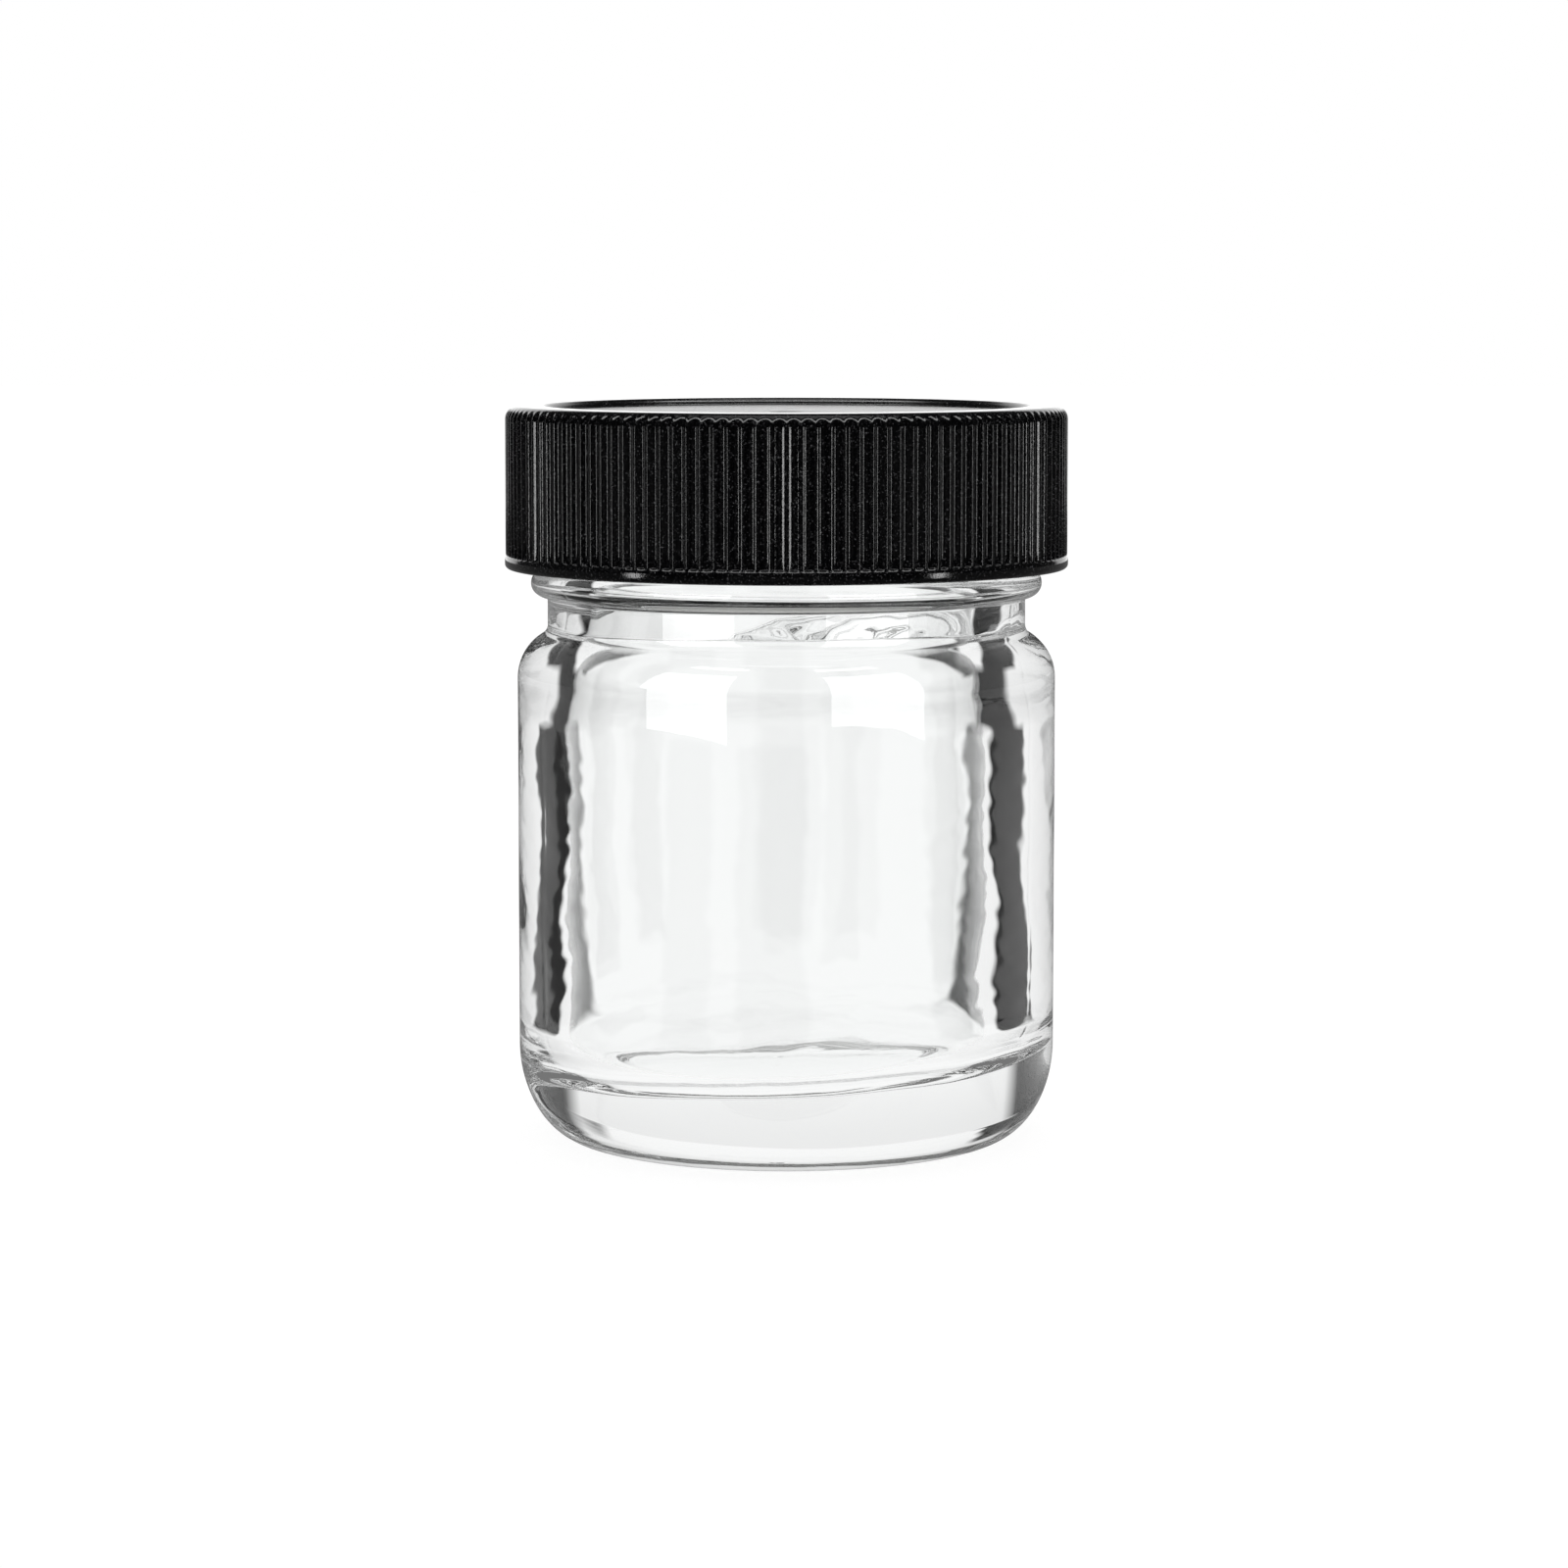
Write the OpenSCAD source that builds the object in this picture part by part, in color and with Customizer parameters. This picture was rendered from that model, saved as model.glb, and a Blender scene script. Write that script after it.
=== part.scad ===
// Small clear glass specimen jar closed by a ribbed screw cap with a two-layer sealing disc.
// Millimetres, +Z up, origin at the centre of the plane the jar stands on.

/* [Glass body] */
// outside radius of the straight body wall
body_r = 19.6; // [19.3:0.1:20.2]
// height at which the straight body wall ends and the shoulder begins
body_top = 33.9; // [28:0.1:60]
// thickness of the body wall
wall_t = 4.4; // [2.8:0.1:4.8]
// thickness of the glass under the inside floor
floor_t = 5.4; // [3:0.1:8]
// radius of the curve where the inside floor meets the wall
floor_fillet = 3.3; // [1.5:0.1:4.5]
// radius of the outside curve of the shoulder
shoulder_r = 3.6; // [3.2:0.1:4]
// distance the heel curve reaches in from the body wall
heel_in = 4.8; // [3.5:0.1:5.5]
// height at which the heel curve meets the body wall
heel_up = 7.1; // [5:0.1:10]
// width of the flat ring the jar stands on
foot_w = 1.6; // [1:0.1:2.5]
// depth of the hollow in the underside
push_up = 0.6; // [0.2:0.1:1.5]

/* [Neck and glass thread] */
// outside radius of the neck under the thread
neck_r = 17.4; // [17.2:0.05:17.5]
// radius of the round mouth
bore_r = 14; // [13:0.1:14.6]
// radius of the hollow blend between shoulder and neck
neck_blend = 0.9; // [0.5:0.1:1.2]
// height of the middle of the bead above the top of the body wall
bead_up = 6.9; // [6.4:0.1:8]
// radius of the bead's round section
bead_round = 1; // [0.8:0.1:1.2]
// distance the bead stands out from the neck
bead_out = 1.2; // [0.9:0.05:1.3]
// height of the rim above the middle of the bead
finish_h = 10.25; // [10:0.05:11]
// radius of the rim's outside edge
rim_outer_round = 0.8; // [0.4:0.1:1]
// radius of the rim's inside edge
rim_inner_round = 0.6; // [0.3:0.1:0.9]
// rise of the thread in one turn
pitch = 4.2333; // [4:0.0001:4.4]
// distance the glass thread stands out from the neck
thread_h = 1.25; // [0.9:0.05:1.3]
// turns of glass thread
thread_turns = 1.1; // [1:0.05:1.15]

/* [Screw cap] */
// radius over the plain band at the foot of the cap
cap_r = 20.5; // [20.3:0.05:21.5]
// height of the cap
cap_h = 11.81; // [11.4:0.01:12]
// height of the plain band
band_h = 0.95; // [0.6:0.05:1.6]
// distance the band stands out from the ribs
band_step = 0.06; // [0.02:0.01:0.15]
// number of grip ribs
rib_count = 128; // [90:1:140]
// depth of the grooves between the ribs
rib_depth = 0.22; // [0.16:0.02:0.4]
// radius of the cap's top edge
top_round = 1; // [0.6:0.1:1.2]
// radius of the sunk panel in the top
panel_r = 17.4; // [14:0.1:18]
// depth of the sunk panel
panel_depth = 0.5; // [0.2:0.05:0.7]
// thickness of the top wall under the panel
top_t = 1.1; // [0.9:0.05:1.5]
// gap between the glass thread and the inside of the skirt
skirt_gap = 0.3; // [0.25:0.01:0.4]
// turns of thread inside the cap
cap_thread_turns = 1.25; // [0.8:0.05:1.35]

/* [Sealing disc] */
// radius of the sealing disc
liner_r = 18.6; // [17.8:0.1:18.6]
// thickness of the pulpboard backing
board_t = 0.85; // [0.6:0.05:0.9]
// thickness of the plastic facing
facing_t = 0.15; // [0.1:0.01:0.2]

/* [Hidden] */
$fn = 96;

glass_colour = [0.86, 0.89, 0.89, 0.45];
cap_colour = [0.045, 0.045, 0.05];
board_colour = [0.74, 0.66, 0.53];
facing_colour = [0.93, 0.93, 0.91];

// overlap that makes a cutting shape pass right through a face
over = 1;

// heights, from the standing plane
bead_z = body_top + bead_up;
rim_z = bead_z + finish_h;
board_z = rim_z + facing_t;
ceiling_z = board_z + board_t;
panel_z = ceiling_z + top_t;
cap_top = panel_z + panel_depth;
cap_bottom = cap_top - cap_h;

// inside of the glass: the throat widens from the bore to the cavity between these heights
cavity_r = body_r - wall_t;
throat_drop = 0.4;
throat_rise = 6.1;
throat_low = body_top - throat_drop;
throat_high = body_top + throat_rise;

// steps along the long curves of the glass outline, and along the small rounded edges
curve_steps = 16;
edge_steps = 6;

// shoulder centre, and the angle at which the shoulder passes into the neck blend
shoulder_cx = body_r - shoulder_r;
blend_angle = acos((neck_r + neck_blend - shoulder_cx) / (shoulder_r + neck_blend));
blend_cz = body_top + (shoulder_r + neck_blend) * sin(blend_angle);

// how far round the bead's section its outline runs, above and below the middle, in degrees
bead_reach = 80;

// radii of the hollow under the base
foot_outer_r = body_r - heel_in;
foot_inner_r = foot_outer_r - foot_w;
push_slope = 1.8;

// thread sections: widths along the axis at the foot and at the crest, how deep the foot is buried,
// how far under the wall the crest starts, and the angles over which the ends fade out and one step
// of the sweep turns
glass_root_w = 2.3;
glass_crest_w = 0.9;
cap_root_w = 1.8;
cap_crest_w = 0.8;
crest_round = 0.22;
thread_bury = 0.35;
thread_sink = 0.21;
thread_fade = 24;
thread_step = 5;

// centre line of the glass thread at its low end, and the direction that end faces
glass_thread_up = 2.95;
glass_thread_z = bead_z + glass_thread_up;
glass_thread_at = 200;

// the cap's thread runs half a pitch under the glass thread
skirt_r = neck_r + thread_h + skirt_gap;
cap_thread_h = 1.2;
cap_thread_up = 0.95;
cap_thread_z = cap_bottom + cap_thread_up;
cap_thread_at = glass_thread_at + 360 * (cap_thread_z + pitch / 2 - glass_thread_z) / pitch;

// outside of the cap: a rib takes half of each pitch, and the shape that trims the ribs' top edge
// stands clear of their crests
rib_crest_r = cap_r - band_step;
rib_root_r = rib_crest_r - rib_depth;
rib_trim_clear = 0.04;
rib_trim_r = rib_crest_r + rib_trim_clear;
rib_share = 0.5;
band_top = cap_bottom + band_h;
band_ease = band_step / 2;
band_round = 0.35;
skirt_lead_in = 0.3;
panel_round = 0.4;

// points along an elliptical arc about (cx, cz), from angle a to angle b
function arc(cx, cz, rx, rz, a, b, n = curve_steps) =
    [for (i = [0:n]) let (t = a + (b - a) * i / n) [cx + rx * cos(t), cz + rz * sin(t)]];

// smooth widening of the throat, from high to low
function throat() =
    [for (i = [0:curve_steps])
        let (t = i / curve_steps)
        [bore_r + (cavity_r - bore_r) * (1 - cos(180 * t)) / 2,
         throat_high + (throat_low - throat_high) * t]];

// section of a thread: a trapezoid with its foot buried in the wall and its crest corners eased,
// always listed the same way round, whether the thread stands out of the wall or in from it
function thread_section(wall_r, out, root_w, crest_w) =
    let (side = sign(out), foot_r = wall_r - side * thread_bury, crest_r = wall_r + out,
         eased_r = crest_r - side * crest_round, eased_w = crest_w + crest_round,
         flat_w = crest_w - 2 * crest_round)
    [[foot_r, -side * root_w / 2],
     [eased_r, -side * eased_w / 2],
     [crest_r, -side * flat_w / 2],
     [crest_r, side * flat_w / 2],
     [eased_r, side * eased_w / 2],
     [foot_r, side * root_w / 2]];

// share of the full thread height at a given angle, sinking into the wall at both ends
function fade(angle, whole) = min(1, angle / thread_fade, (whole - angle) / thread_fade);

// screw thread standing out from a round wall by out, or in from it where out is negative
module thread(wall_r, out, root_w, crest_w, turns) {
    whole = 360 * turns;
    steps = ceil(whole / thread_step);
    count = len(thread_section(wall_r, out, root_w, crest_w));
    points = [for (i = [0:steps])
        let (angle = whole * i / steps,
             share = fade(angle, whole),
             height = sign(out) * ((abs(out) + thread_sink) * share - thread_sink))
        for (p = thread_section(wall_r, out, root_w, crest_w))
            let (beyond = (p[0] - wall_r) / out,
                 r = beyond > 0 ? wall_r + beyond * height : p[0])
            [r * cos(angle), r * sin(angle), p[1] + pitch * angle / 360]];
    sides = [for (i = [0:steps - 1], j = [0:count - 1])
        let (k = (j + 1) % count, a = i * count, b = a + count)
        each [[a + j, a + k, b + k], [a + j, b + k, b + j]]];
    ends = [[for (j = [count - 1:-1:0]) j],
            [for (j = [0:count - 1]) steps * count + j]];
    polyhedron(points, concat(sides, ends));
}

// outline of the cap's grip: rounded ribs with a flat groove between each two
module rib_outline() {
    polygon([for (i = [0:rib_count - 1], phase = [-90:45:90])
        let (angle = (i + rib_share * phase / 180) * 360 / rib_count,
             r = rib_root_r + rib_depth * cos(phase))
        [r * cos(angle), r * sin(angle)]]);
}

module glass_outline() {
    polygon(concat(
        [[0, push_up], [foot_inner_r - push_slope, push_up], [foot_inner_r, 0]],
        arc(foot_outer_r, heel_up, heel_in, heel_up, -90, 0),
        arc(shoulder_cx, body_top, shoulder_r, shoulder_r, 0, blend_angle),
        arc(neck_r + neck_blend, blend_cz, neck_blend, neck_blend, 180 + blend_angle, 180),
        [[neck_r, bead_z - bead_round]],
        arc(neck_r + bead_out - bead_round, bead_z, bead_round, bead_round, -bead_reach, bead_reach),
        [[neck_r, bead_z + bead_round]],
        arc(neck_r - rim_outer_round, rim_z - rim_outer_round,
            rim_outer_round, rim_outer_round, 0, 90, edge_steps),
        arc(bore_r + rim_inner_round, rim_z - rim_inner_round,
            rim_inner_round, rim_inner_round, 90, 180, edge_steps),
        throat(),
        arc(cavity_r - floor_fillet, floor_t + floor_fillet, floor_fillet, floor_fillet, 0, -90),
        [[0, floor_t]]));
}

module glass_jar() {
    color(glass_colour) {
        rotate_extrude() glass_outline();
        translate([0, 0, glass_thread_z])
            rotate([0, 0, glass_thread_at])
            thread(neck_r, thread_h, glass_root_w, glass_crest_w, thread_turns);
    }
}

// the ribbed part of the cap is trimmed to this outline, which rounds its top edge
module rib_trim() {
    polygon(concat(
        [[0, band_top - band_h / 2], [rib_trim_r, band_top - band_h / 2]],
        arc(rib_trim_r - top_round, cap_top - top_round,
            top_round, top_round, 0, 90, edge_steps),
        [[0, cap_top]]));
}

// plain band round the foot of the cap
module band_outline() {
    polygon(concat(
        [[0, cap_bottom]],
        arc(cap_r - band_round, cap_bottom + band_round,
            band_round, band_round, -90, 0, edge_steps),
        [[cap_r, band_top - band_ease], [cap_r - band_ease, band_top], [0, band_top]]));
}

// sunk panel in the top, with a rounded lip
module panel_outline() {
    polygon(concat(
        [[0, panel_z], [panel_r, panel_z]],
        arc(panel_r + panel_round, cap_top - panel_round,
            panel_round, panel_round, 180, 90, edge_steps),
        [[panel_r + panel_round, cap_top + over], [0, cap_top + over]]));
}

module cap_hollow() {
    polygon([[0, cap_bottom - over],
        [skirt_r + skirt_lead_in, cap_bottom - over],
        [skirt_r + skirt_lead_in, cap_bottom],
        [skirt_r, cap_bottom + skirt_lead_in],
        [skirt_r, ceiling_z],
        [0, ceiling_z]]);
}

module screw_cap() {
    color(cap_colour) {
        difference() {
            union() {
                intersection() {
                    translate([0, 0, band_top - band_h / 2])
                        linear_extrude(cap_h)
                        rib_outline();
                    rotate_extrude() rib_trim();
                }
                rotate_extrude() band_outline();
            }
            rotate_extrude() panel_outline();
            rotate_extrude() cap_hollow();
        }
        translate([0, 0, cap_thread_z])
            rotate([0, 0, cap_thread_at])
            thread(skirt_r, -cap_thread_h, cap_root_w, cap_crest_w, cap_thread_turns);
    }
}

module liner_board() {
    color(board_colour) translate([0, 0, board_z]) cylinder(r = liner_r, h = board_t);
}

module liner_facing() {
    color(facing_colour) translate([0, 0, rim_z]) cylinder(r = liner_r, h = facing_t);
}

glass_jar();
screw_cap();
liner_board();
liner_facing();
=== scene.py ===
"""Looks of the clear glass specimen jar and its ribbed black screw cap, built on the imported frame.

The jar, the cap and the two layers of the sealing disc are turned meshes: an outline of
radius and height is swept round the axis, and what isn't round (grip ribs, screw threads,
wavy glass) is added as a small offset along the outline's normal.
"""

import math

import bpy
import numpy as np
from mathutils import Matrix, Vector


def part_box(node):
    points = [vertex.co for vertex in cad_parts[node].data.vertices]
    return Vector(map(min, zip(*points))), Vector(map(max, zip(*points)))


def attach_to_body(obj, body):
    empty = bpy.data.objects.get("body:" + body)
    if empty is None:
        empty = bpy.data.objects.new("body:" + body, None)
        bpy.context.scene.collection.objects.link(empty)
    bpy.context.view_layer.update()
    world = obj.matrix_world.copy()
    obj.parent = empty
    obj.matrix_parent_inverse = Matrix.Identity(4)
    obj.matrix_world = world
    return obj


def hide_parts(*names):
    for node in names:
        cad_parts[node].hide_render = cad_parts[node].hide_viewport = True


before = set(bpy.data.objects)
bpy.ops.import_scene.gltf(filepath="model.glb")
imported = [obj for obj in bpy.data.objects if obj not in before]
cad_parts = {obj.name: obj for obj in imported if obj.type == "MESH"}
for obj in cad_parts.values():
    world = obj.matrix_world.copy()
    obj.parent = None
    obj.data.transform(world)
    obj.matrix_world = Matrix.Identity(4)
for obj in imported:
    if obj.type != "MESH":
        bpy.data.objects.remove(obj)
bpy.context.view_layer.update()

MM = 0.001
TURN = 2 * math.pi

# ---------------------------------------------------------------- sizes, in millimetres
# The outer sizes come from the CAD nodes.
jar_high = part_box("glass_jar")[1] / MM
cap_low, cap_high = (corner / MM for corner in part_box("screw_cap"))
board_low, board_high = (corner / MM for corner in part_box("liner_board"))
facing_low, facing_high = (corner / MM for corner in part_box("liner_facing"))

BODY_R = jar_high.x
RIM_Z = jar_high.z
CAP_R = cap_high.x
CAP_BOTTOM = cap_low.z
CAP_TOP = cap_high.z
LINER_R = board_high.x
CEILING_Z = board_high.z

# glass outline
SHOULDER_R = 3.6
SHOULDER_DROP = 17.15
SHOULDER_Z = RIM_Z - SHOULDER_DROP
HEEL_IN = 4.8
HEEL_UP = 7.1
FOOT_W = 1.6
PUSH_UP = 0.6
PUSH_SLOPE = 1.8
NECK_R = 17.4
NECK_BLEND = 0.9
BORE_R = 14.0
BEAD_DROP = 10.25
BEAD_Z = RIM_Z - BEAD_DROP
BEAD_ROUND = 1.0
BEAD_OUT = 1.2
RIM_OUTER_ROUND = 0.8
RIM_INNER_ROUND = 0.6
WALL_T = 4.4
FLOOR_T = 5.4
FLOOR_FILLET = 3.3
THROAT_DROP = 4.5
THROAT_RISE = 6.1
THROAT_LOW = SHOULDER_Z - THROAT_DROP
THROAT_HIGH = SHOULDER_Z + THROAT_RISE
# how far from the axis a sweep stops before it closes to a point
POLE_R = 0.4

# screw threads
PITCH = 4.2333
GLASS_THREAD_H = 1.25
GLASS_THREAD_TURNS = 1.1
GLASS_THREAD_UP = 2.95
GLASS_THREAD_Z = BEAD_Z + GLASS_THREAD_UP
GLASS_THREAD_AT = math.radians(200)
GLASS_THREAD_W = (0.9, 2.3)
CAP_THREAD_H = 1.2
CAP_THREAD_TURNS = 1.25
CAP_THREAD_UP = 0.95
CAP_THREAD_Z = CAP_BOTTOM + CAP_THREAD_UP
CAP_THREAD_AT = GLASS_THREAD_AT + TURN * (CAP_THREAD_Z + PITCH / 2 - GLASS_THREAD_Z) / PITCH
CAP_THREAD_W = (0.8, 1.8)
THREAD_FADE = math.radians(24)

# cap
RIB_COUNT = 128
RIB_DEPTH = 0.22
RIB_SHARP = 1.2
RIB_RUN_IN = 0.15
BAND_H = 0.95
BAND_STEP = 0.06
BAND_ROUND = 0.35
TOP_ROUND = 1.0
PANEL_R = 17.4
PANEL_DEPTH = 0.5
PANEL_ROUND = 0.4
THREAD_PLAY = 0.3
SKIRT_R = NECK_R + GLASS_THREAD_H + THREAD_PLAY
LEAD_IN = 0.3


# ---------------------------------------------------------------- turned meshes
def arc(cx, cz, rx, rz, start, end, steps):
    """Points of an elliptical arc about (cx, cz), from angle start to end in degrees."""
    t = np.radians(np.linspace(start, end, steps + 1))
    return np.column_stack([cx + rx * np.cos(t), cz + rz * np.sin(t)])


def line(start, end, step):
    """Points from start to end, without the two ends, no further apart than step."""
    start, end = np.array(start, float), np.array(end, float)
    count = max(int(math.ceil(np.linalg.norm(end - start) / step)), 1)
    t = np.linspace(0, 1, count + 1)[1:-1, None]
    return start + (end - start) * t


def outline(*stretches, step=0.4):
    """Joins arcs and points into one outline, with straight stretches filled in."""
    points = np.atleast_2d(np.array(stretches[0], float))
    for stretch in stretches[1:]:
        stretch = np.atleast_2d(np.array(stretch, float))
        if np.linalg.norm(points[-1] - stretch[0]) < 1e-6:
            stretch = stretch[1:]
        points = np.vstack([points, line(points[-1], stretch[0], step), stretch])
    return points


def normals(points):
    """Unit normals of an outline, to the right of its direction of travel."""
    along = np.gradient(points, axis=0)
    along /= np.linalg.norm(along, axis=1, keepdims=True)
    return np.column_stack([along[:, 1], -along[:, 0]])


def smooth(x):
    """Smooth step from 0 at 0 to 1 at 1."""
    x = np.clip(x, 0, 1)
    return x * x * (3 - 2 * x)


def waves(angle, height, seed, count, low, high, reach, tall):
    """A sum of ripples round and along a turned wall, scaled to about -1 to 1.

    low and high bound the ripples round one turn, reach is how far a crest drifts round per
    millimetre of height, and tall is the shortest wave along the axis in millimetres.
    """
    rng = np.random.RandomState(seed)
    total = np.zeros(np.broadcast(angle, height).shape)
    for _ in range(count):
        turns = rng.randint(low, high + 1)
        phase, drift = rng.uniform(0, TURN), rng.uniform(-reach, reach)
        rate, late = TURN / (tall * rng.uniform(1, 3)), rng.uniform(0, TURN)
        total += np.cos(turns * (angle + drift * height) + phase) * np.cos(rate * height + late)
    return total / math.sqrt(count)


def thread(angle, height, start_z, start_at, turns, widths):
    """Height of a right-handed screw thread, 0 to 1, on a wall at those angles and heights."""
    crest, root = widths[0] / 2, widths[1] / 2
    whole = TURN * turns
    base = np.mod(angle - start_at, TURN)
    result = np.zeros(np.broadcast(angle, height).shape)
    for lap in range(int(math.ceil(turns))):
        travel = base + lap * TURN
        off = np.abs(height - start_z - PITCH * travel / TURN)
        flank = smooth((root - off) / (root - crest))
        end = np.minimum(travel, whole - travel) / THREAD_FADE
        result = np.maximum(result, flank * smooth(end))
    return result


class Turned:
    """Collects rings of points round the axis and the faces between them."""

    def __init__(self):
        self.points, self.faces, self.count = [], [], 0

    def ring(self, xyz):
        first = self.count
        self.points.append(xyz)
        self.count += len(xyz)
        return first, len(xyz)

    def wall(self, grid):
        """Quads over a grid of rings, shape (rows, columns, 3). Returns its first and last ring."""
        rings = [self.ring(row) for row in grid]
        for (a, n), (b, _) in zip(rings, rings[1:]):
            self.join((a, n), (b, n))
        return rings[0], rings[-1]

    def join(self, low, high):
        """Faces from one ring to the next, which has as many points or a whole fraction of them."""
        (a, n), (b, m) = low, high
        if n < m:
            self.fan(high, low, True)
        elif n > m:
            self.fan(low, high, False)
        else:
            self.faces += [(a + j, a + (j + 1) % n, b + (j + 1) % n, b + j) for j in range(n)]

    def fan(self, fine, coarse, flip):
        """Triangles from a fine ring to a coarser one."""
        (a, n), (b, m) = fine, coarse
        share = n // m
        for j in range(m):
            here, after = b + j, b + (j + 1) % m
            middle = j * share + share // 2
            made = [(a + (j * share + k) % n, a + (j * share + k + 1) % n,
                     here if j * share + k < middle else after) for k in range(share)]
            made.append((a + middle % n, after, here))
            self.faces += [f[::-1] for f in made] if flip else made

    def pole(self, ring, height, flip):
        """Closes a ring to a point on the axis."""
        a, n = ring
        tip, _ = self.ring(np.array([[0.0, 0.0, height]]))
        made = [(a + j, a + (j + 1) % n, tip) for j in range(n)]
        self.faces += [f[::-1] for f in made] if flip else made

    def piece(self, name, material):
        """Makes the smooth-shaded Blender object, in metres."""
        mesh = bpy.data.meshes.new(name)
        mesh.from_pydata((np.vstack(self.points) * MM).tolist(), [], self.faces)
        mesh.validate()
        mesh.update()
        mesh.shade_smooth()
        mesh.materials.append(material)
        obj = bpy.data.objects.new(name, mesh)
        bpy.context.scene.collection.objects.link(obj)
        return obj


def turned_grid(points, angles, offset=0.0):
    """Sweeps an outline round the axis, moved by offset along the outline's normals."""
    normal = normals(points)
    shift = np.broadcast_to(offset, (len(points), len(angles)))
    r = points[:, :1] + normal[:, :1] * shift
    z = points[:, 1:] + normal[:, 1:] * shift
    return np.stack([r * np.cos(angles), r * np.sin(angles), z], axis=2)


def even_angles(count):
    return np.arange(count) * TURN / count


# ---------------------------------------------------------------- materials
def set_inputs(tree, node, values):
    """Links or sets each named or numbered input of a node."""
    for key, value in values.items():
        if isinstance(value, bpy.types.NodeSocket):
            tree.links.new(value, node.inputs[key])
        else:
            node.inputs[key].default_value = value


def node_adder(tree):
    """A function that adds a node to a tree, with its settings and inputs."""
    def add(kind, inputs=(), **settings):
        node = tree.nodes.new(kind)
        for key, value in settings.items():
            setattr(node, key, value)
        set_inputs(tree, node, dict(inputs))
        return node

    return add


def new_material(name):
    """A node material with its Principled shader, and a function that adds a node to it."""
    material = bpy.data.materials.new(name)
    material.use_nodes = True
    tree = material.node_tree
    return material, tree, tree.nodes["Principled BSDF"], node_adder(tree)


def reckon(add, operation, *terms):
    """The result of a Math node."""
    return add("ShaderNodeMath", dict(enumerate(terms)), operation=operation).outputs["Value"]


def from_axis(add, place):
    """Distance from the jar's axis, in metres."""
    flat = add("ShaderNodeVectorMath", {0: place, 1: (1.0, 1.0, 0.0)}, operation="MULTIPLY")
    return add("ShaderNodeVectorMath", {0: flat.outputs["Vector"]}, operation="LENGTH").outputs["Value"]


def noise(add, place, scale, detail=2.0, rough=0.5):
    inputs = {"Vector": place, "Scale": scale, "Detail": detail, "Roughness": rough}
    return add("ShaderNodeTexNoise", inputs).outputs["Fac"]


def between(add, value, low, high, start=0.0, end=1.0):
    """Maps a 0 to 1 value onto low to high, clamped."""
    inputs = {"Value": value, "From Min": start, "From Max": end, "To Min": low, "To Max": high}
    return add("ShaderNodeMapRange", inputs).outputs["Result"]


def glass_material():
    """Clear flint glass: fire-polished, with the faint orange-peel of a mould."""
    material, tree, shader, add = new_material("clear_glass")
    place = add("ShaderNodeTexCoord").outputs["Object"]
    peel = noise(add, place, 260.0, 1.0, 0.4)
    bump = add("ShaderNodeBump", {"Height": peel, "Strength": 0.15, "Distance": 0.02 * MM})
    rough = between(add, noise(add, place, 90.0, 3.0, 0.6), 0.0, 0.008)
    set_inputs(tree, shader, {
        "Base Color": (0.985, 0.992, 0.99, 1.0),
        "Transmission Weight": 1.0,
        "IOR": 1.52,
        "Roughness": rough,
        "Normal": bump.outputs["Normal"],
    })
    return material


def cap_material():
    """Black moulded polypropylene with a fine spark-eroded grain, and grey glints painted into its
    colour.
    """
    material, tree, shader, add = new_material("black_polypropylene")
    place = add("ShaderNodeTexCoord").outputs["Object"]
    grain = noise(add, place, 4200.0, 3.0, 0.7)
    patches = noise(add, place, 320.0, 2.0, 0.5)
    # painted glints: sparse grey specks in the base colour stand in for light sparkling off the grain
    painted_glints = noise(add, place, 6500.0, 2.0, 0.8)
    colour = add("ShaderNodeValToRGB", {"Fac": painted_glints})
    elements = colour.color_ramp.elements
    elements[0].position = 0.5
    elements[0].color = (0.0004, 0.0004, 0.0005, 1.0)
    elements[1].position = 0.78
    elements[1].color = (0.08, 0.08, 0.083, 1.0)
    elements.new(0.62).color = (0.003, 0.003, 0.0032, 1.0)
    # the sunk panel and the hollow are matt, the outside is polished and grained
    reach = from_axis(add, place)
    edge = (PANEL_R * MM, (PANEL_R + PANEL_ROUND) * MM)
    matt = between(add, reach, 0.2, 0.0, *edge)
    depth = between(add, reach, 0.08, 0.45, *edge)
    bump = add("ShaderNodeBump", {"Height": grain, "Strength": depth, "Distance": 0.016 * MM})
    polish = between(add, patches, 0.05, 0.1, 0.3, 0.7)
    set_inputs(tree, shader, {
        "Base Color": colour.outputs["Color"],
        "IOR": 1.49,
        "Specular IOR Level": between(add, reach, 0.4, 0.16, *edge),
        "Roughness": reckon(add, "ADD", matt, polish),
        "Normal": bump.outputs["Normal"],
    })
    return material


def board_material():
    """Grey-brown pulpboard with fibres and specks."""
    material, tree, shader, add = new_material("pulpboard")
    place = add("ShaderNodeTexCoord").outputs["Object"]
    squashed = add("ShaderNodeMapping", {"Vector": place, "Scale": (1.0, 1.0, 4.0)})
    fibres = noise(add, squashed.outputs["Vector"], 2600.0, 5.0, 0.7)
    clouds = noise(add, place, 240.0, 3.0, 0.6)
    ramp = add("ShaderNodeValToRGB", {"Fac": reckon(add, "MULTIPLY_ADD", fibres, clouds, 0.25)})
    ramp.color_ramp.elements[0].position = 0.3
    ramp.color_ramp.elements[0].color = (0.34, 0.27, 0.19, 1.0)
    ramp.color_ramp.elements[1].position = 0.75
    ramp.color_ramp.elements[1].color = (0.62, 0.53, 0.4, 1.0)
    bump = add("ShaderNodeBump", {"Height": fibres, "Strength": 0.6, "Distance": 0.06 * MM})
    set_inputs(tree, shader, {
        "Base Color": ramp.outputs["Color"],
        "Roughness": 0.9,
        "Normal": bump.outputs["Normal"],
    })
    return material


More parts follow.
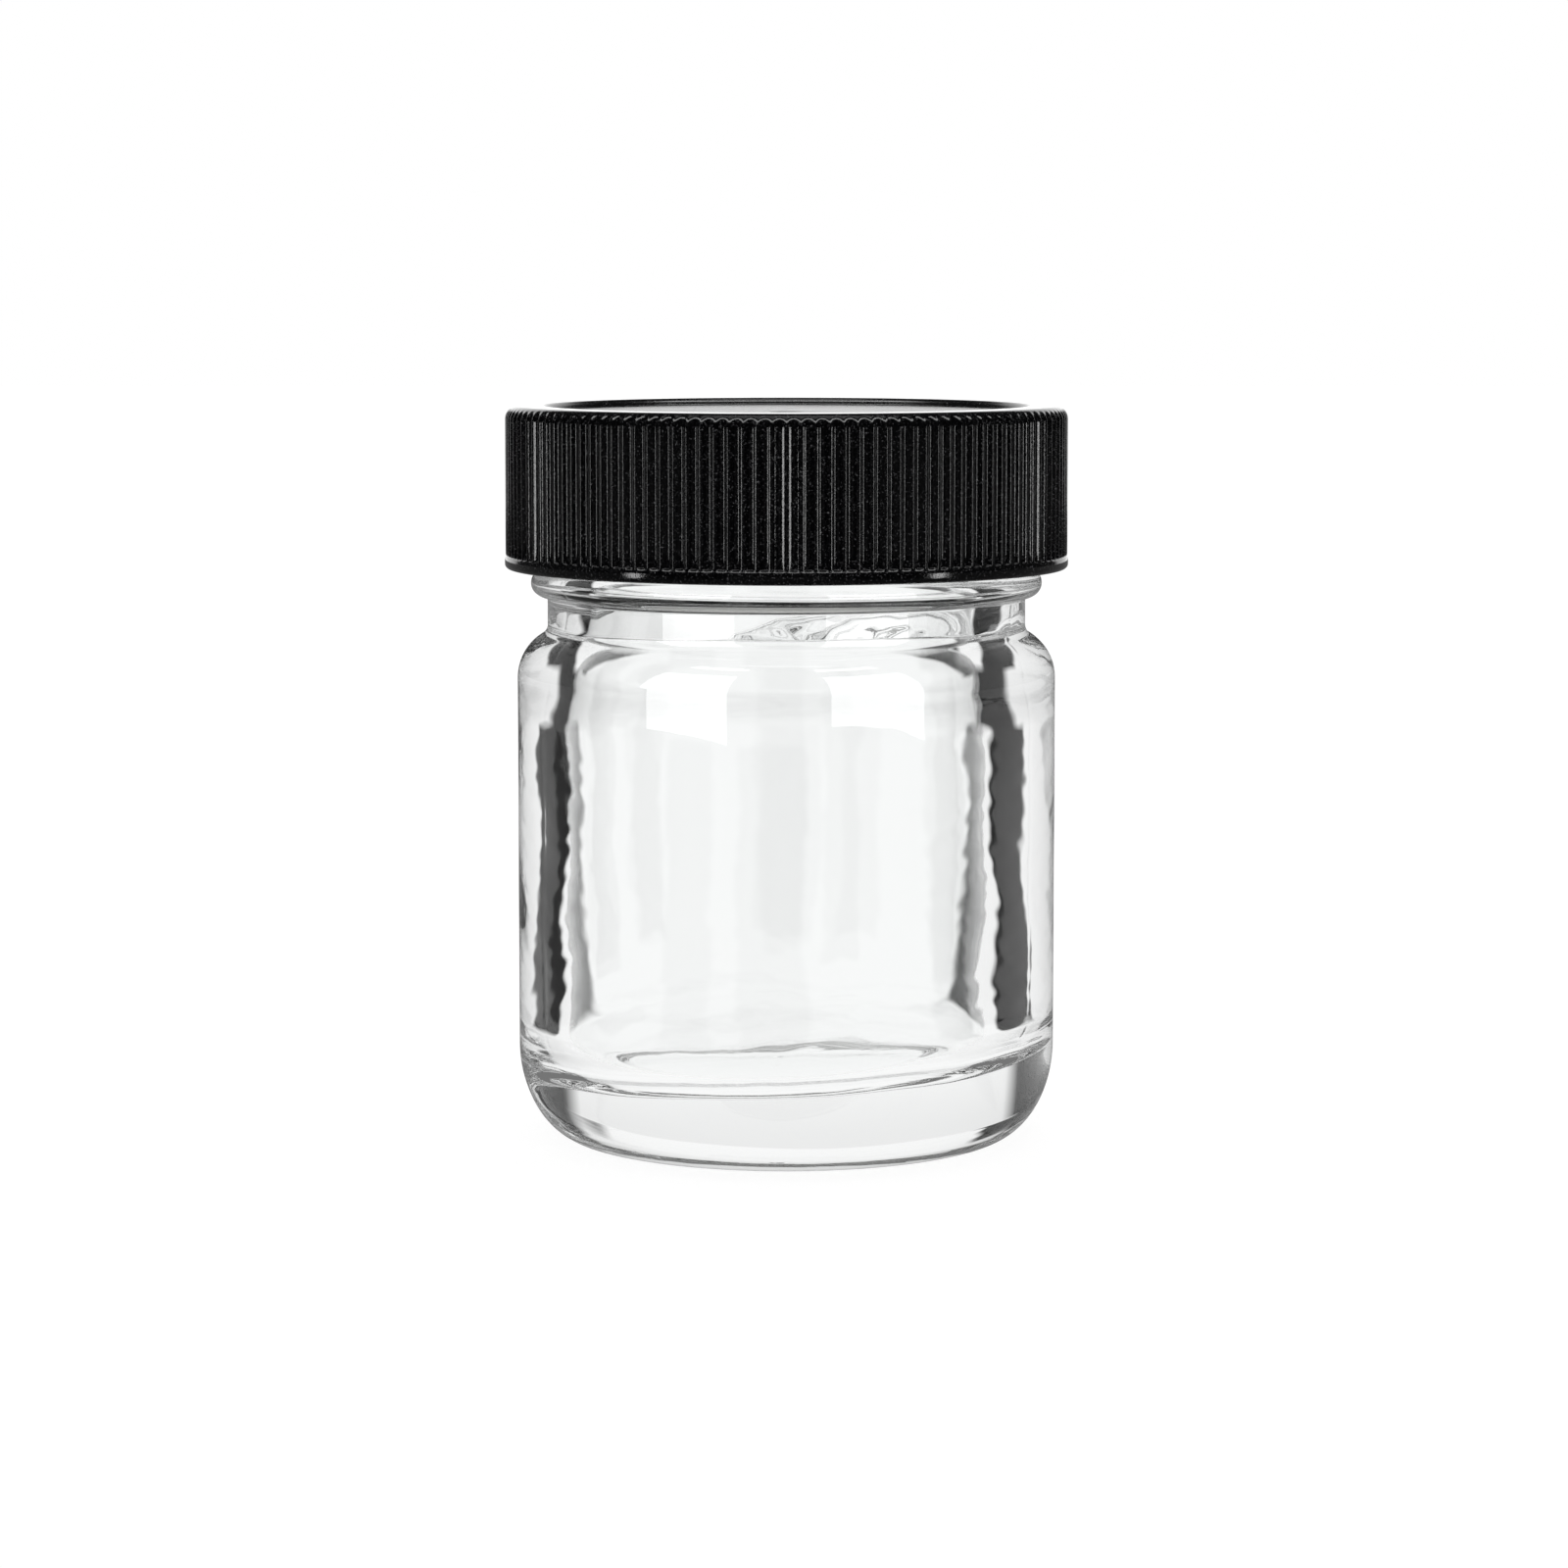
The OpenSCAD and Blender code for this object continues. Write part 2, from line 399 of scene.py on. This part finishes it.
def film_material():
    """White plastic film, smooth, with a faint weave of the board beneath showing through."""
    material, tree, shader, add = new_material("white_film")
    place = add("ShaderNodeTexCoord").outputs["Object"]
    dimples = noise(add, place, 1500.0, 4.0, 0.6)
    clouds = noise(add, place, 200.0, 2.0, 0.5)
    # inputs 6 and 7 of a Mix node are its two colours
    tones = {"Factor": clouds, 6: (0.8, 0.79, 0.76, 1.0), 7: (0.87, 0.865, 0.84, 1.0)}
    colour = add("ShaderNodeMix", tones, data_type="RGBA")
    bump = add("ShaderNodeBump", {"Height": dimples, "Strength": 0.4, "Distance": 0.03 * MM})
    set_inputs(tree, shader, {
        "Base Color": colour.outputs[2],
        "IOR": 1.5,
        "Roughness": between(add, dimples, 0.22, 0.4),
        "Normal": bump.outputs["Normal"],
    })
    return material


# ---------------------------------------------------------------- the jar
JAR_COLUMNS = 384
CAVITY_R = BODY_R - WALL_T
# the hollow inside a pressed jar is never quite true
CAVITY_SHIFT = -0.5
FLOOR_TILT = math.radians(1.8)
INNER_WAVE = 0.035
INNER_RIPPLE = 0.005
OUTER_WAVE = 0.012
SEAM_AT = math.radians(5)
SEAM_H = 0.03
SEAM_W = 0.18


def glass_outside():
    foot_r = BODY_R - HEEL_IN
    shoulder_x = BODY_R - SHOULDER_R
    reach = SHOULDER_R + NECK_BLEND
    angle = math.degrees(math.acos((NECK_R + NECK_BLEND - shoulder_x) / reach))
    blend_z = SHOULDER_Z + reach * math.sin(math.radians(angle))
    lower = outline(
        (POLE_R, PUSH_UP),
        (foot_r - FOOT_W - PUSH_SLOPE, PUSH_UP),
        (foot_r - FOOT_W, 0.02),
        (foot_r - FOOT_W + 0.15, 0.0),
        arc(foot_r, HEEL_UP, HEEL_IN, HEEL_UP, -90, 0, 40),
        arc(shoulder_x, SHOULDER_Z, SHOULDER_R, SHOULDER_R, 0, angle, 20),
        arc(NECK_R + NECK_BLEND, blend_z, NECK_BLEND, NECK_BLEND, 180 + angle, 180, 8),
        step=0.4,
    )
    bead_x = NECK_R + BEAD_OUT - BEAD_ROUND
    upper = outline(
        lower[-1],
        (NECK_R, BEAD_Z - BEAD_ROUND - 0.12),
        (NECK_R + 0.1, BEAD_Z - BEAD_ROUND + 0.02),
        arc(bead_x, BEAD_Z, BEAD_ROUND, BEAD_ROUND, -72, 72, 20),
        (NECK_R + 0.1, BEAD_Z + BEAD_ROUND - 0.02),
        (NECK_R, BEAD_Z + BEAD_ROUND + 0.12),
        arc(NECK_R - RIM_OUTER_ROUND, RIM_Z - RIM_OUTER_ROUND,
            RIM_OUTER_ROUND, RIM_OUTER_ROUND, 0, 90, 8),
        arc(BORE_R + RIM_INNER_ROUND, RIM_Z - RIM_INNER_ROUND,
            RIM_INNER_ROUND, RIM_INNER_ROUND, 90, 180, 8),
        step=0.14,
    )
    return np.vstack([lower, upper[1:]])


def glass_inside():
    t = np.linspace(0, 1, 33)[1:]
    throat = np.column_stack([
        BORE_R + (CAVITY_R - BORE_R) * t**3 * (10 - 15 * t + 6 * t**2),
        THROAT_HIGH + (THROAT_LOW - THROAT_HIGH) * t,
    ])
    return outline(
        (BORE_R, RIM_Z - RIM_INNER_ROUND - 0.1),
        (BORE_R, THROAT_HIGH),
        throat,
        arc(CAVITY_R - FLOOR_FILLET, FLOOR_T + FLOOR_FILLET,
            FLOOR_FILLET, FLOOR_FILLET, 0, -90, 20),
        (POLE_R, FLOOR_T),
        step=0.25,
    )


def glass_jar():
    angles = even_angles(JAR_COLUMNS)
    shape = Turned()

    outside = glass_outside()
    z = outside[:, 1:]
    on_finish = (z > BEAD_Z + BEAD_ROUND) & (outside[:, :1] > NECK_R - 0.01)
    offset = GLASS_THREAD_H * on_finish * thread(
        angles, z, GLASS_THREAD_Z, GLASS_THREAD_AT, GLASS_THREAD_TURNS, GLASS_THREAD_W)
    on_body = smooth((z - 1.0) / 3) * smooth((THROAT_HIGH - z) / 3)
    offset = offset + OUTER_WAVE * on_body * waves(
        angles, z, seed=11, count=14, low=2, high=9, reach=0.02, tall=9.0)
    # two mould seams, a half turn apart
    aside = np.abs(np.mod(angles - SEAM_AT + math.pi / 2, math.pi) - math.pi / 2) * BODY_R
    on_seam = smooth((z - 2.0) / 4) * smooth((RIM_Z - 1.5 - z) / 2) * (outside[:, :1] > BORE_R)
    offset = offset + SEAM_H * on_seam * np.exp(-((aside / SEAM_W) ** 2))
    low, high = shape.wall(turned_grid(outside, angles, offset))
    shape.pole(low, PUSH_UP, True)

    inside = glass_inside()
    z = inside[:, 1:]
    below_neck = smooth((THROAT_HIGH + 2 - z) / 6)
    depth = below_neck * smooth(inside[:, :1] / CAVITY_R)
    wavy = INNER_WAVE * waves(
        angles, z, seed=5, count=18, low=2, high=11, reach=0.03, tall=7.0)
    wavy = wavy + INNER_RIPPLE * waves(
        angles, z, seed=9, count=26, low=12, high=40, reach=0.05, tall=1.2)
    grid = turned_grid(inside, angles, wavy * depth)
    grid[:, :, 0] += CAVITY_SHIFT * below_neck
    near_floor = smooth((FLOOR_T + 8 - grid[:, :, 2]) / 8)
    grid[:, :, 2] += grid[:, :, 0] * math.tan(FLOOR_TILT) * near_floor
    top, floor = shape.wall(grid)
    shape.join(high, top)
    shape.pole(floor, FLOOR_T, False)

    return shape.piece("glass_jar_moulding", glass_material())


# ---------------------------------------------------------------- the cap
CAP_INSIDE_COLUMNS = 256
RIB_STEPS = 10
GATE_R = 1.1
GATE_DEPTH = 0.06


def rib_angles():
    """Columns round the cap: each rib takes RIB_STEPS, close together where it curves."""
    across = np.arange(RIB_STEPS) / RIB_STEPS - 0.5
    rise = ((1 + np.cos(TURN * across)) / 2) ** RIB_SHARP
    start = np.arange(RIB_COUNT)[:, None]
    return ((start + across) * TURN / RIB_COUNT).ravel(), np.tile(rise, RIB_COUNT)


def cap_outside():
    """Outline from the skirt's foot up and over to the panel, and how deep the ribs are cut."""
    band_top = CAP_BOTTOM + BAND_H
    crest_r = CAP_R - BAND_STEP
    band = outline(
        (SKIRT_R + LEAD_IN + 0.15, CAP_BOTTOM),
        arc(CAP_R - BAND_ROUND, CAP_BOTTOM + BAND_ROUND, BAND_ROUND, BAND_ROUND, -90, 0, 8),
        (CAP_R, band_top - BAND_STEP),
        (crest_r, band_top),
        step=0.5,
    )
    run_in = np.linspace(0, 1, 7)[1:]
    start = np.column_stack([np.full(6, crest_r), band_top + RIB_RUN_IN * run_in])
    corner_z = CAP_TOP - TOP_ROUND
    side = line(start[-1], (crest_r, corner_z), 1.2)
    corner = arc(crest_r - TOP_ROUND, corner_z, TOP_ROUND, TOP_ROUND, 0, 90, 16)
    over = outline(
        (PANEL_R + PANEL_ROUND + 0.6, CAP_TOP),
        arc(PANEL_R + PANEL_ROUND, CAP_TOP - PANEL_ROUND, PANEL_ROUND, PANEL_ROUND, 90, 180, 8),
        arc(PANEL_R - 0.08, CAP_TOP - PANEL_DEPTH + 0.08, 0.08, 0.08, 0, -90, 3),
        step=0.5,
    )
    cut = np.concatenate([
        np.zeros(len(band)),
        smooth(run_in),
        np.ones(len(side)),
        1 - smooth((np.linspace(0, 90, 17) - 12) / 48),
        np.zeros(len(over)),
    ])
    return np.vstack([band, start, side, corner, over]), cut


def screw_cap():
    angles, rise = rib_angles()
    shape = Turned()
    outside, cut = cap_outside()
    offset = -RIB_DEPTH * cut[:, None] * (1 - rise[None, :])
    foot, lip = shape.wall(turned_grid(outside, angles, offset))

    inner = even_angles(CAP_INSIDE_COLUMNS)
    panel_z = CAP_TOP - PANEL_DEPTH
    panel = outline((PANEL_R - 0.6, panel_z), (GATE_R + 0.25, panel_z),
                    (GATE_R, panel_z - GATE_DEPTH), (0.3, panel_z - GATE_DEPTH), step=1.5)
    first, last = shape.wall(turned_grid(panel, inner))
    shape.join(lip, first)
    shape.pole(last, panel_z - GATE_DEPTH, False)

    hollow = outline(
        (0.3, CEILING_Z),
        (SKIRT_R - 0.2, CEILING_Z),
        (SKIRT_R, CEILING_Z - 0.2),
        (SKIRT_R, CAP_BOTTOM + LEAD_IN),
        (SKIRT_R + LEAD_IN, CAP_BOTTOM + 0.02),
        step=0.14,
    )
    keep = (hollow[:, 0] > SKIRT_R - 0.5) | (np.arange(len(hollow)) % 10 == 0)
    hollow = hollow[keep]
    z = hollow[:, 1:]
    on_skirt = hollow[:, :1] > SKIRT_R - 0.01
    raised = CAP_THREAD_H * on_skirt * thread(
        inner, z, CAP_THREAD_Z, CAP_THREAD_AT, CAP_THREAD_TURNS, CAP_THREAD_W)
    ceiling, skirt = shape.wall(turned_grid(hollow, inner, raised))
    shape.join(skirt, foot)
    shape.pole(ceiling, CEILING_Z, True)
    return shape.piece("ribbed_cap", cap_material())


# ---------------------------------------------------------------- the sealing disc
DISC_COLUMNS = 192
FRAY = 0.02


def disc(name, low, high, dent, material):
    """A thin round layer with eased edges. dent presses its underside in, where the rim seats."""
    ease = (high - low) * 0.3
    angles = even_angles(DISC_COLUMNS)
    under = outline((POLE_R, low), arc(LINER_R - ease, low + ease, ease, ease, -90, 0, 4), step=0.45)
    over = outline(arc(LINER_R - ease, high - ease, ease, ease, 0, 90, 4), (POLE_R, high), step=2.0)
    seat = smooth((under[:, 0] - BORE_R + 0.2) / 0.5) * smooth((NECK_R - under[:, 0] + 0.2) / 0.5)
    frayed = FRAY * waves(
        angles, under[:, 1:], seed=21, count=12, low=20, high=60, reach=0.0, tall=5.0)
    edge = smooth((under[:, :1] - LINER_R + 1) / 1)
    shape = Turned()
    bottom, side = shape.wall(turned_grid(
        under, angles, -dent * seat[:, None] + np.minimum(frayed, 0) * edge))
    first, top = shape.wall(turned_grid(over, angles))
    shape.join(side, first)
    shape.pole(bottom, low, True)
    shape.pole(top, high, False)
    return shape.piece(name, material)


# ---------------------------------------------------------------- build and attach
def attach(piece, node, body):
    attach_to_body(piece, body)
    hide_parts(node)


jar = glass_jar()
cap = screw_cap()
board = disc("pulpboard_backing", board_low.z, board_high.z, 0.0, board_material())
facing = disc("facing_film", facing_low.z, facing_high.z, 0.03, film_material())
attach(jar, "glass_jar", "jar")
attach(cap, "screw_cap", "cap")
attach(board, "liner_board", "liner")
attach(facing, "liner_facing", "liner")


# ---------------------------------------------------------------- studio
# Clear glass shows its surroundings bent and in miniature, so each kind of ray gets its own:
# what is seen through the glass, what is reflected, and what the camera sees past the jar.
# azimuths of the dark flags, in degrees, placed to suit the photo's own view
DARK_SECTORS = ((28, 60), (120, 152), (214, 240), (250, 285), (345, 371))
HEEL_DARK_SECTORS = ((0, 52), (132, 178))
SECTOR_EDGE = 3.0
HEEL_EDGE = 6.0
SURROUND_R = 0.4
SURROUND_H = 0.5
DARK_GLOW = 0.01
DARK_UP_TO = 0.015
DARK_FADE = 0.03
HEEL_DARK_UP_TO = 0.2
HEEL_DARK_FADE = 0.03
HIGH_GLOW = 0.88
HIGH_GLOW_Z = (0.02, 0.08)
MIRRORED_GLOW = 0.04
FLOOR_DARK_FROM = 0.045
FLOOR_DARK_AT = 0.065
GLASS_BOUNCES = 40
OVERHEAD_R = 0.2
OVERHEAD_Z = 0.55
OVERHEAD_GLOW = 2.0
SURROUND_SIDES = 144
OVERHEAD_SIDES = 48
CARD_COLUMNS = 25
TABLE_HALF = 2
TABLE_GLOW = 0.93
TABLE_REFLECTED_GLOW = 0.18
CAMERA_AT = (-0.00018, -0.356, 0.0647)
CAMERA_DOWN = math.radians(6.215)
CAMERA_LENS = 112.2


def see_only(obj, *rays):
    """Shows an object only to these kinds of ray."""
    for kind in ("camera", "diffuse", "glossy", "transmission", "volume_scatter", "shadow"):
        setattr(obj, "visible_" + kind, kind in rays)


def stage_mesh(name, points, faces, material, rays):
    """A piece of the studio, in metres, shown only to some kinds of ray."""
    mesh = bpy.data.meshes.new(name)
    mesh.from_pydata([tuple(map(float, point)) for point in points], [], faces)
    mesh.materials.append(material)
    obj = bpy.data.objects.new(name, mesh)
    bpy.context.scene.collection.objects.link(obj)
    see_only(obj, *rays)
    return obj


def glow_only(tree, shader, add, strength):
    """Puts a glow in the place of the Principled shader."""
    glow = add("ShaderNodeEmission", {"Strength": strength})
    out = tree.nodes["Material Output"]
    tree.nodes.remove(shader)
    tree.links.new(glow.outputs["Emission"], out.inputs["Surface"])


def glow_material(name, strength):
    """An even glow, with no other shading."""
    material, tree, shader, add = new_material(name)
    glow_only(tree, shader, add, strength)
    return material


def sectors(add, around, spans, edge):
    """1 inside the spans of azimuth, in degrees, and 0 outside, with soft edges."""
    ramp = add("ShaderNodeValToRGB", {"Fac": around})
    elements = ramp.color_ramp.elements
    elements[0].color = (0.0, 0.0, 0.0, 1.0)
    elements[1].color = (0.0, 0.0, 0.0, 1.0)
    for start, end in spans:
        rises = ((start, 0.0), (start + edge, 1.0), (end - edge, 1.0), (end, 0.0))
        for azimuth, value in rises:
            elements.new(((azimuth + 180) % 360) / 360).color = (value, value, value, 1.0)
    return ramp.outputs["Color"]


def surround_material():
    """Bright all round, with low dark flags that fade out on the table near the jar, and tall
    ones that darken the heel.
    """
    material, tree, shader, add = new_material("surround")
    place = add("ShaderNodeTexCoord").outputs["Object"]
    around = add("ShaderNodeTexGradient", {"Vector": place}, gradient_type="RADIAL").outputs["Fac"]
    away = between(add, from_axis(add, place), 0.0, 1.0, FLOOR_DARK_FROM, FLOOR_DARK_AT)
    height = add("ShaderNodeSeparateXYZ", {"Vector": place}).outputs["Z"]
    low = between(add, height, 1.0, 0.0, DARK_UP_TO, DARK_UP_TO + DARK_FADE)
    high = between(add, height, 1.0, 0.0, HEEL_DARK_UP_TO, HEEL_DARK_UP_TO + HEEL_DARK_FADE)
    walls = reckon(add, "MULTIPLY", sectors(add, around, DARK_SECTORS, SECTOR_EDGE), low)
    walls = reckon(add, "MULTIPLY", walls, away)
    heel = reckon(add, "MULTIPLY", sectors(add, around, HEEL_DARK_SECTORS, HEEL_EDGE),
                  reckon(add, "SUBTRACT", high, low))
    bright = between(add, height, 1.0, HIGH_GLOW, *HIGH_GLOW_Z)
    shade = between(add, reckon(add, "ADD", walls, heel), 1.0, DARK_GLOW)
    glow_only(tree, shader, add, reckon(add, "MULTIPLY", bright, shade))
    return material


def ring_points(radius, height, azimuths):
    t = np.radians(azimuths)
    return [(radius * math.cos(a), radius * math.sin(a), height) for a in t]


def strip(count, closed=False):
    """Faces between two rows of count points."""
    return [(i, (i + 1) % count, count + (i + 1) % count, count + i)
            for i in range(count if closed else count - 1)]


def surround():
    """What is seen through the glass: a table and a drum round it."""
    material = surround_material()
    azimuths = np.arange(SURROUND_SIDES) * 360 / SURROUND_SIDES
    foot = ring_points(SURROUND_R, 0.0, azimuths)
    stage_mesh("surround_wall", foot + ring_points(SURROUND_R, SURROUND_H, azimuths),
               strip(SURROUND_SIDES, True), material, ("transmission",))
    stage_mesh("surround_table", foot, [tuple(range(SURROUND_SIDES))], material, ("transmission",))


def card(name, azimuths, distance, heights, strength, lit):
    """A curved upright sheet between two azimuths and two heights, which lights only some pieces."""
    across = np.linspace(*azimuths, CARD_COLUMNS)
    points = ring_points(distance, heights[0], across) + ring_points(distance, heights[1], across)
    sheet = stage_mesh(name, points, strip(CARD_COLUMNS), glow_material(name, strength),
                       ("glossy", "diffuse"))
    sheet.light_linking.receiver_collection = lit


def overhead():
    """A soft round light above the jar."""
    azimuths = np.arange(OVERHEAD_SIDES) * 360 / OVERHEAD_SIDES
    stage_mesh("overhead", ring_points(OVERHEAD_R, OVERHEAD_Z, azimuths),
               [tuple(range(OVERHEAD_SIDES))], glow_material("overhead", OVERHEAD_GLOW),
               ("glossy", "diffuse"))


def lit_pieces(name, pieces):
    """A collection that lights can be limited to."""
    lit = bpy.data.collections.new(name)
    for piece in pieces:
        lit.objects.link(piece)
    return lit


def table():
    """The pale table as the camera sees it: all but white, with a trace of shadow under the jar."""
    material, tree, shader, add = new_material("table")
    set_inputs(tree, shader, {
        "Base Color": (0.12, 0.12, 0.12, 1.0),
        "Roughness": 1.0,
        "Specular IOR Level": 0.0,
        "Emission Color": (1.0, 1.0, 1.0, 1.0),
        "Emission Strength": TABLE_GLOW,
    })
    half = TABLE_HALF
    square = [(-half, -half, 0), (half, -half, 0), (half, half, 0), (-half, half, 0)]
    stage_mesh("table", square, [(0, 1, 2, 3)], material, ("camera", "diffuse", "shadow"))
    stage_mesh("table_reflected", square, [(0, 1, 2, 3)],
               glow_material("table_reflected", TABLE_REFLECTED_GLOW), ("glossy",))


def white_world():
    """White to the camera and through the glass, and dim in reflections."""
    world = bpy.data.worlds.new("studio")
    bpy.context.scene.world = world
    world.use_nodes = True
    tree = world.node_tree
    add = node_adder(tree)
    path = add("ShaderNodeLightPath").outputs
    # a ray through glass counts as glossy too, so it gets back what the first step takes
    strength = reckon(add, "MULTIPLY_ADD", path["Is Glossy Ray"], MIRRORED_GLOW - 1.0, 1.0)
    strength = reckon(add, "MULTIPLY_ADD", path["Is Transmission Ray"],
                      HIGH_GLOW - MIRRORED_GLOW, strength)
    set_inputs(tree, tree.nodes["Background"], {
        "Color": (1.0, 1.0, 1.0, 1.0),
        "Strength": strength,
    })


def studio_camera():
    data = bpy.data.cameras.new("camera")
    camera = bpy.data.objects.new("camera", data)
    bpy.context.scene.collection.objects.link(camera)
    data.sensor_width = 36.0
    data.lens = CAMERA_LENS
    data.dof.use_dof = False
    camera.location = CAMERA_AT
    camera.rotation_euler = (math.pi / 2 - CAMERA_DOWN, 0.0, 0.0)
    bpy.context.scene.camera = camera


table()
surround()
white_world()
studio_camera()
glass_only = lit_pieces("lit_glass", (jar,))
cap_only = lit_pieces("lit_cap", (cap, board, facing))
# name, azimuths in degrees, distance, heights, strength and the pieces lit
cards = (
    ("softbox_left", (207, 246), 0.25, (0.009, 0.5), 4.0, glass_only),
    ("softbox_right", (288, 328), 0.25, (0.009, 0.5), 4.0, glass_only),
    ("strip_left", (206, 211), 0.24, (0.009, 0.075), 26.0, cap_only),
    ("strip_right", (329, 334), 0.24, (0.009, 0.075), 26.0, cap_only),
    ("back_glow", (50, 130), 0.3, (0.03, 0.2), 1.6, cap_only),
    ("top_light", (185, 355), 0.22, (0.24, 0.36), 15.0, cap_only),
)
for sheet in cards:
    card(*sheet)
overhead()
bpy.context.scene.view_settings.view_transform = "Standard"
# light runs a long way inside thick glass
bpy.context.scene.cycles.max_bounces = GLASS_BOUNCES
bpy.context.scene.cycles.transmission_bounces = GLASS_BOUNCES
bpy.context.scene.cycles.glossy_bounces = GLASS_BOUNCES
